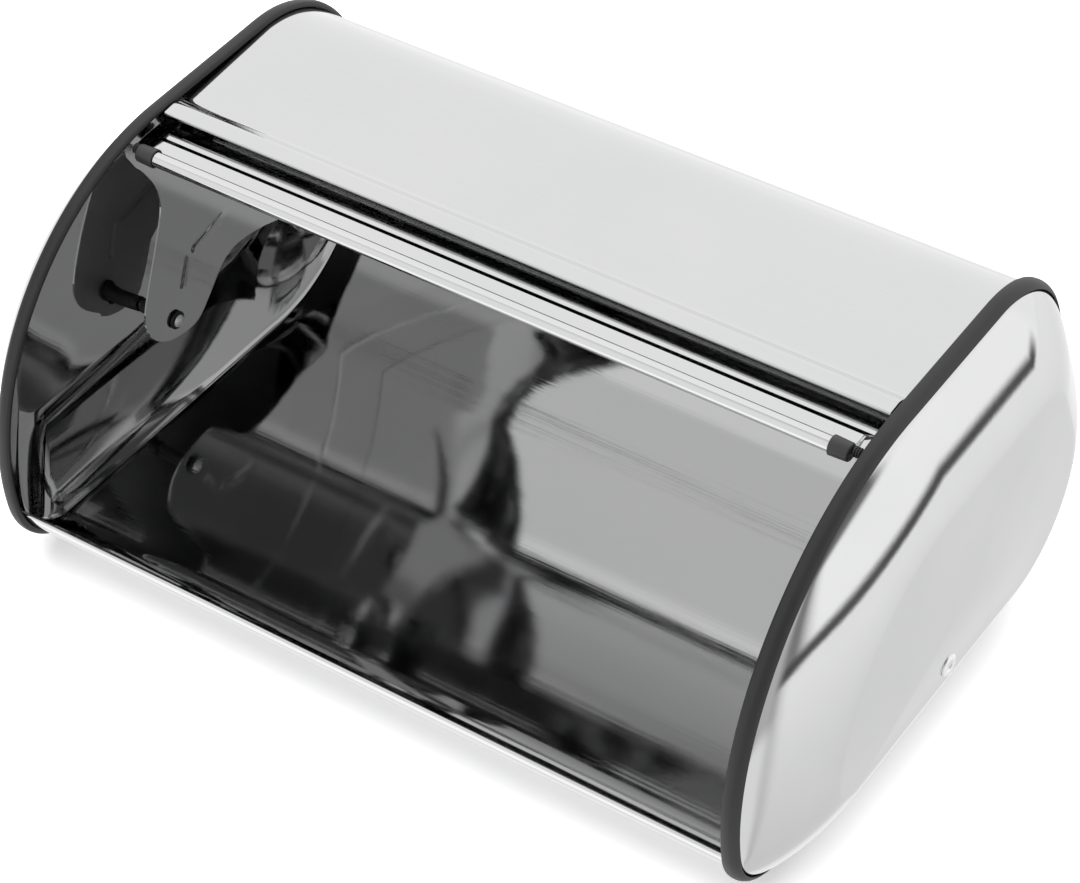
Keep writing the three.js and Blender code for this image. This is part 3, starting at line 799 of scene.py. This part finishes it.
def coords(nt, scale=(1, 1, 1)):
    tc = node(nt, "ShaderNodeTexCoord")
    mp = node(nt, "ShaderNodeMapping")
    mp.inputs["Scale"].default_value = scale
    nt.links.new(tc.outputs["Object"], mp.inputs["Vector"])
    return mp.outputs["Vector"]


def noise(nt, vec, scale, detail=4.0, rough=0.55, dist=0.0):
    n = node(nt, "ShaderNodeTexNoise")
    n.inputs["Scale"].default_value = scale
    n.inputs["Detail"].default_value = detail
    n.inputs["Roughness"].default_value = rough
    n.inputs["Distortion"].default_value = dist
    nt.links.new(vec, n.inputs["Vector"])
    return n.outputs["Fac"]


def remap(nt, src, a, b, lo, hi, smooth=False):
    n = node(nt, "ShaderNodeMapRange")
    if smooth:
        n.interpolation_type = "SMOOTHSTEP"
    n.inputs["From Min"].default_value = a
    n.inputs["From Max"].default_value = b
    n.inputs["To Min"].default_value = lo
    n.inputs["To Max"].default_value = hi
    nt.links.new(src, n.inputs["Value"])
    return n.outputs["Result"]


def math_node(nt, op, a, b):
    n = node(nt, "ShaderNodeMath", operation=op)
    for i, v in enumerate((a, b)):
        if isinstance(v, (int, float)):
            n.inputs[i].default_value = v
        else:
            nt.links.new(v, n.inputs[i])
    return n.outputs[0]


def ramp(nt, src, stops):
    n = node(nt, "ShaderNodeValToRGB")
    cr = n.color_ramp
    while len(cr.elements) > 1:
        cr.elements.remove(cr.elements[-1])
    cr.elements[0].position, cr.elements[0].color = stops[0][0], (*stops[0][1], 1)
    for p, c in stops[1:]:
        e = cr.elements.new(p)
        e.color = (*c, 1)
    nt.links.new(src, n.inputs["Fac"])
    return n.outputs["Color"]


def bump(nt, height, strength, distance, prev=None):
    n = node(nt, "ShaderNodeBump")
    n.inputs["Strength"].default_value = strength
    n.inputs["Distance"].default_value = distance
    nt.links.new(height, n.inputs["Height"])
    if prev is not None:
        nt.links.new(prev, n.inputs["Normal"])
    return n.outputs["Normal"]


def sheet_steel(name, tone=0.86, rough=0.035):
    """Bright rolled sheet: faint grain along the length, a breath of haze."""
    m, nt, b = new_material(name)
    b.inputs["Metallic"].default_value = 1.0
    v = coords(nt)
    along = coords(nt, (6, 900, 900))
    cloud = noise(nt, v, 9.0, 3.0)
    grain = noise(nt, along, 1.0, 3.0, 0.6)
    fine = noise(nt, coords(nt, (40, 4200, 4200)), 1.0, 2.0)
    mix = math_node(nt, "ADD", math_node(nt, "MULTIPLY", cloud, 0.7), math_node(nt, "MULTIPLY", grain, 0.3))
    col = ramp(nt, mix, [(0.3, (tone * 0.955, tone * 0.96, tone * 0.965)), (0.7, (tone, tone, tone))])
    nt.links.new(col, b.inputs["Base Color"])
    r = math_node(nt, "ADD", remap(nt, cloud, 0.35, 0.7, rough, rough * 1.7), remap(nt, fine, 0.4, 0.75, 0.0, rough * 0.6))
    nt.links.new(r, b.inputs["Roughness"])
    nt.links.new(bump(nt, grain, 0.05, 0.0004), b.inputs["Normal"])
    return m


def drawn_steel(name, tone=0.84, rough=0.12, orange=0.05):
    """Steel stretched over a punch: the shine is a little hazed and pebbled."""
    m, nt, b = new_material(name)
    b.inputs["Metallic"].default_value = 1.0
    v = coords(nt)
    cloud = noise(nt, v, 14.0, 4.0)
    peel = noise(nt, v, 420.0, 3.0, 0.5)
    scuff = noise(nt, coords(nt, (60, 900, 2400)), 1.0, 3.0, 0.6)
    col = ramp(nt, cloud, [(0.32, (tone * 0.95, tone * 0.952, tone * 0.96)), (0.68, (tone, tone, tone))])
    nt.links.new(col, b.inputs["Base Color"])
    r = math_node(nt, "ADD", remap(nt, cloud, 0.3, 0.7, rough * 0.85, rough * 1.2), remap(nt, scuff, 0.5, 0.8, 0.0, rough * 0.35))
    nt.links.new(r, b.inputs["Roughness"])
    nt.links.new(bump(nt, peel, orange, 0.0002), b.inputs["Normal"])
    return m


def rivet_steel(name, metal):
    m, nt, b = new_material(name)
    b.inputs["Metallic"].default_value = metal
    v = coords(nt)
    n1 = noise(nt, v, 260.0, 4.0)
    col = ramp(nt, n1, [(0.3, (0.80, 0.80, 0.81)), (0.7, (0.93, 0.93, 0.94))])
    nt.links.new(col, b.inputs["Base Color"])
    nt.links.new(remap(nt, n1, 0.3, 0.7, 0.30, 0.42), b.inputs["Roughness"])
    nt.links.new(bump(nt, noise(nt, v, 1500.0, 2.0), 0.12, 0.0002), b.inputs["Normal"])
    return m


def black_rubber(name, base=0.045, rough=0.5, grain=0.10):
    m, nt, b = new_material(name)
    v = coords(nt)
    cloud = noise(nt, v, 26.0, 4.0)
    pores = noise(nt, v, 1700.0, 3.0, 0.6)
    k = math_node(nt, "ADD", math_node(nt, "MULTIPLY", cloud, 0.75), math_node(nt, "MULTIPLY", pores, 0.25))
    col = ramp(nt, k, [(0.33, (base * 0.80, base * 0.80, base * 0.82)), (0.67, (base * 1.15, base * 1.15, base * 1.16))])
    nt.links.new(col, b.inputs["Base Color"])
    nt.links.new(remap(nt, k, 0.35, 0.65, rough * 0.9, rough * 1.15), b.inputs["Roughness"])
    b.inputs["Specular IOR Level"].default_value = 0.45
    n = bump(nt, pores, grain, 0.0002)
    nt.links.new(bump(nt, cloud, 0.10, 0.0006, n), b.inputs["Normal"])
    return m


def nylon(name):
    m, nt, b = new_material(name)
    v = coords(nt)
    c = noise(nt, v, 60.0, 3.0)
    nt.links.new(ramp(nt, c, [(0.3, (0.022, 0.022, 0.023)), (0.7, (0.034, 0.034, 0.036))]), b.inputs["Base Color"])
    nt.links.new(remap(nt, c, 0.3, 0.7, 0.38, 0.52), b.inputs["Roughness"])
    nt.links.new(bump(nt, noise(nt, v, 900.0, 2.0), 0.06, 0.0002), b.inputs["Normal"])
    return m


STEEL = sheet_steel("mirror_steel_sheet", 0.63, 0.028)
DOOR_STEEL = sheet_steel("mirror_steel_door", 0.63, 0.026)
TUBE_STEEL = sheet_steel("mirror_steel_tube", 0.66, 0.06)
CAP_OUT = drawn_steel("drawn_steel_outside", 0.66, 0.06, 0.025)
CAP_INN = drawn_steel("drawn_steel_inside", 0.62, 0.035, 0.02)
PLATE_STEEL = drawn_steel("pressed_steel_plate", 0.60, 0.06, 0.03)
# Back faces of the side plates: the rougher satin finish is real, but the much lighter tone (0.96 against 0.60 on the
# front) is painted light that lightens the shaded gap between plate and cap, as it shows mirrored in the cap.
PLATE_BACK_PAINTED_LIGHT = drawn_steel("satin_steel_plate_back_painted_light", 0.96, 0.55, 0.03)
RIVET = rivet_steel("rivet_steel_turned", 0.92)
RIVET_IN = rivet_steel("rivet_steel_turned_inner_head", 0.35)
TRIM = black_rubber("edge_trim_rubber", 0.014, 0.50, 0.10)
FOOT = black_rubber("foot_rubber_matte", 0.030, 0.75, 0.18)
PLASTIC = black_rubber("pull_cap_plastic", 0.026, 0.42, 0.14)
WASHER = black_rubber("washer_plastic", 0.020, 0.40, 0.06)
NYLON = nylon("bush_nylon_black")

# ------------------------------------------------------------------ pieces
sheet = build_case_sheet()
sheet.data.materials.append(STEEL)
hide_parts("case_sheet"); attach(sheet, "case")
door = build_door_sheet()
door.data.materials.append(DOOR_STEEL)
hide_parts("door_sheet"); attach(door, "door")
tube = build_tube()
tube.data.materials.append(TUBE_STEEL)
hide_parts("door_pull_tube"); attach(tube, "door")


def place(ob, node_name, body):
    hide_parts(node_name)
    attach(ob, body)


for side, tag in ((-1, "left"), (1, "right")):
    place(build_end_cap(side, tag + "_cap_drawn", [CAP_OUT, CAP_INN]), tag + "_end_cap", "case")
    place(build_trim(side, tag + "_trim_soft", [TRIM]), tag + "_edge_trim", "case")
    plate_ob = join(list(build_side_plate(side, tag + "_side_pressed", [PLATE_STEEL])), tag + "_side_plate")
    plate_ob.data.materials.append(PLATE_BACK_PAINTED_LIGHT)
    # faces turned towards the cap take the back material, whose lighter tone is painted light for the shaded gap
    for face in plate_ob.data.polygons:
        if side * face.normal.x > 0.7 and len(plate_ob.data.materials) == 2:
            face.material_index = 1
    place(plate_ob, tag + "_door_side", "door")
    place(build_pull_cap(side, tag + "_pull_cup", [PLASTIC]), tag + "_pull_cap", "door")
    place(build_plug(side, tag + "_pull_ribs", [PLASTIC]), tag + "_pull_plug", "door")
    pin_ob = build_pin(side, tag + "_pin_turned", [RIVET, RIVET_IN])
    for face in pin_ob.data.polygons:
        if side * face.center.x < (PIN_LO[0] + 6.0) * MM:
            face.material_index = 1
    place(pin_ob, tag + "_pivot_pin", "case")
    place(build_ring(side, tag + "_washer_flat", HOLE_R, (WASH_HI[1] - WASH_LO[1]) / 2, WASH_LO[0], WASH_HI[0], [WASHER]),
          tag + "_pivot_washer", "case")
    place(build_bush(side, tag + "_bush_turned", [NYLON]), tag + "_pivot_bush", "case")
for nm in ("front_left_foot", "front_right_foot", "back_left_foot", "back_right_foot"):
    place(build_foot(nm, [FOOT]), nm, "case")

# ------------------------------------------------------------------ stage
def floor_material():
    m, nt, b = new_material("pale_floor")
    v = coords(nt)
    c = noise(nt, v, 3.0, 3.0)
    nt.links.new(ramp(nt, c, [(0.3, (0.90, 0.90, 0.90)), (0.7, (0.93, 0.93, 0.93))]), b.inputs["Base Color"])
    b.inputs["Roughness"].default_value = 0.6
    b.inputs["Specular IOR Level"].default_value = 0.2
    # a faint glow, as on a lit studio table, keeps the contact shadow light
    b.inputs["Emission Color"].default_value = (1.0, 1.0, 1.0, 1.0)
    b.inputs["Emission Strength"].default_value = 0.35
    return m


def flat_disc(name, r, z, n=96):
    verts = [(r * math.cos(2 * math.pi * i / n), r * math.sin(2 * math.pi * i / n), z) for i in range(n)]
    return mesh_object(name, verts, [tuple(range(n))])


floor = flat_disc("studio_floor", 6000.0, 0.0)
floor.data.materials.append(floor_material())

# Studio: a white back wall and left half ceiling, a white panel to the front
# left, a white right wall with a narrow gap above the floor, and a dim front
# right corner. Mirror rays see the room; the floor is lit by it and by one
# wide soft lamp overhead.
floor.visible_glossy = False
world = bpy.data.worlds.new("studio")
bpy.context.scene.world = world
world.use_nodes = True
wn = world.node_tree
wn.nodes.clear()
wo = wn.nodes.new("ShaderNodeOutputWorld")
wb = wn.nodes.new("ShaderNodeBackground")
tc = wn.nodes.new("ShaderNodeTexCoord")
sep = wn.nodes.new("ShaderNodeSeparateXYZ")
wn.links.new(tc.outputs["Generated"], sep.inputs["Vector"])
DIR = tc.outputs["Generated"]
DZ = sep.outputs["Z"]


def vmath(op, a, b=None):
    n = node(wn, "ShaderNodeVectorMath", operation=op)
    for i, v in enumerate((a, b)):
        if v is None:
            continue
        if isinstance(v, tuple):
            n.inputs[i].default_value = v
        else:
            wn.links.new(v, n.inputs[i])
    return n.outputs["Value"] if op == "DOT_PRODUCT" else n.outputs["Vector"]


FLAT = vmath("NORMALIZE", vmath("MULTIPLY", DIR, (1.0, 1.0, 0.0)))


def heading(az):
    """Horizontal direction; 0 is straight out of the mouth, 90 to the right."""
    return (math.sin(az * D), -math.cos(az * D), 0.0)


def sector(az, half, soft):
    return remap(wn, vmath("DOT_PRODUCT", FLAT, heading(az)), math.cos((half + soft / 2) * D), math.cos((half - soft / 2) * D), 0, 1, True)


def above(el, soft):
    return remap(wn, DZ, math.sin((el - soft / 2) * D), math.sin((el + soft / 2) * D), 0, 1, True)


def below(el, soft):
    return remap(wn, DZ, math.sin((el - soft / 2) * D), math.sin((el + soft / 2) * D), 1, 0, True)


def both(*masks):
    m = masks[0]
    for k in masks[1:]:
        m = math_node(wn, "MULTIPLY", m, k)
    return m


def over(under, mask, value):
    n = node(wn, "ShaderNodeMath", operation="MULTIPLY_ADD")
    wn.links.new(mask, n.inputs[0])
    wn.links.new(math_node(wn, "SUBTRACT", value, under), n.inputs[1])
    if isinstance(under, (int, float)):
        n.inputs[2].default_value = under
    else:
        wn.links.new(under, n.inputs[2])
    return n.outputs[0]


# ceiling: white towards the back left, dark towards the front right
ceiling = remap(wn, vmath("DOT_PRODUCT", DIR, heading(-140)), -0.12, 0.16, 0.16, 1.22, True)
room = over(0.28, above(36, 14), ceiling)
room = over(room, both(sector(-80, 27, 12), below(42, 14)), 0.34)
room = over(room, both(sector(178, 62, 16), above(-30, 30), below(58, 20)), 1.18)
room = over(room, both(sector(-20, 31, 9), below(63, 14)), remap(wn, DZ, 0.60, 0.88, 1.08, 0.84))
room = over(room, both(sector(-62, 44, 12), below(-15, 8)), 1.38)
room = over(room, both(sector(112, 36, 14), above(-20, 30), below(29, 8)), 1.25)
room = over(room, both(sector(100, 42, 12), above(-3.0, 2.4), below(1.4, 4.0)), 0.10)
room = over(room, both(sector(130, 66, 16), below(-4.0, 2.2)), remap(wn, DZ, -0.92, -0.15, 0.82, 1.12))
room = over(room, both(sector(-150, 46, 20), below(-20, 12)), 1.0)
room = over(room, both(sector(37, 24, 12), below(32, 10)), 0.60)
room = over(room, both(sector(36, 26, 14), below(-16, 10)), 1.0)
wn.links.new(room, wb.inputs["Color"])
wb.inputs["Strength"].default_value = 1.0
wn.links.new(wb.outputs["Background"], wo.inputs["Surface"])

lamp = bpy.data.lights.new("overhead_lamp", "AREA")
lamp.shape = "DISK"
lamp.size = 4.0
lamp.energy = 150.0
lamp_ob = bpy.data.objects.new("overhead_lamp", lamp)
lamp_ob.location = (-0.3, 0.3, 3.0)
lamp_ob.visible_glossy = False
lamp_ob.visible_camera = False
bpy.context.scene.collection.objects.link(lamp_ob)

# ------------------------------------------------------------------ camera
cam = bpy.data.cameras.new("view_camera")
cam.sensor_fit = "HORIZONTAL"
cam.sensor_width = 36.0
cam.lens = 109.892
cam.shift_x = -0.03208
cam.shift_y = -0.02439
cam.clip_start = 0.05
cam.clip_end = 50
co = bpy.data.objects.new("view_camera", cam)
X, Y, Z = (0.83136, 0.55553, -0.01525), (-0.36129, 0.56111, 0.74473), (0.42228, -0.61363, 0.66719)
M = Matrix(((X[0], Y[0], Z[0], 0.62183), (X[1], Y[1], Z[1], -0.86943), (X[2], Y[2], Z[2], 1.03626), (0, 0, 0, 1)))
co.matrix_world = M
bpy.context.scene.collection.objects.link(co)
bpy.context.scene.camera = co
bpy.context.scene.view_settings.view_transform = "Standard"
bpy.context.scene.cycles.max_bounces = 16
bpy.context.scene.cycles.glossy_bounces = 14
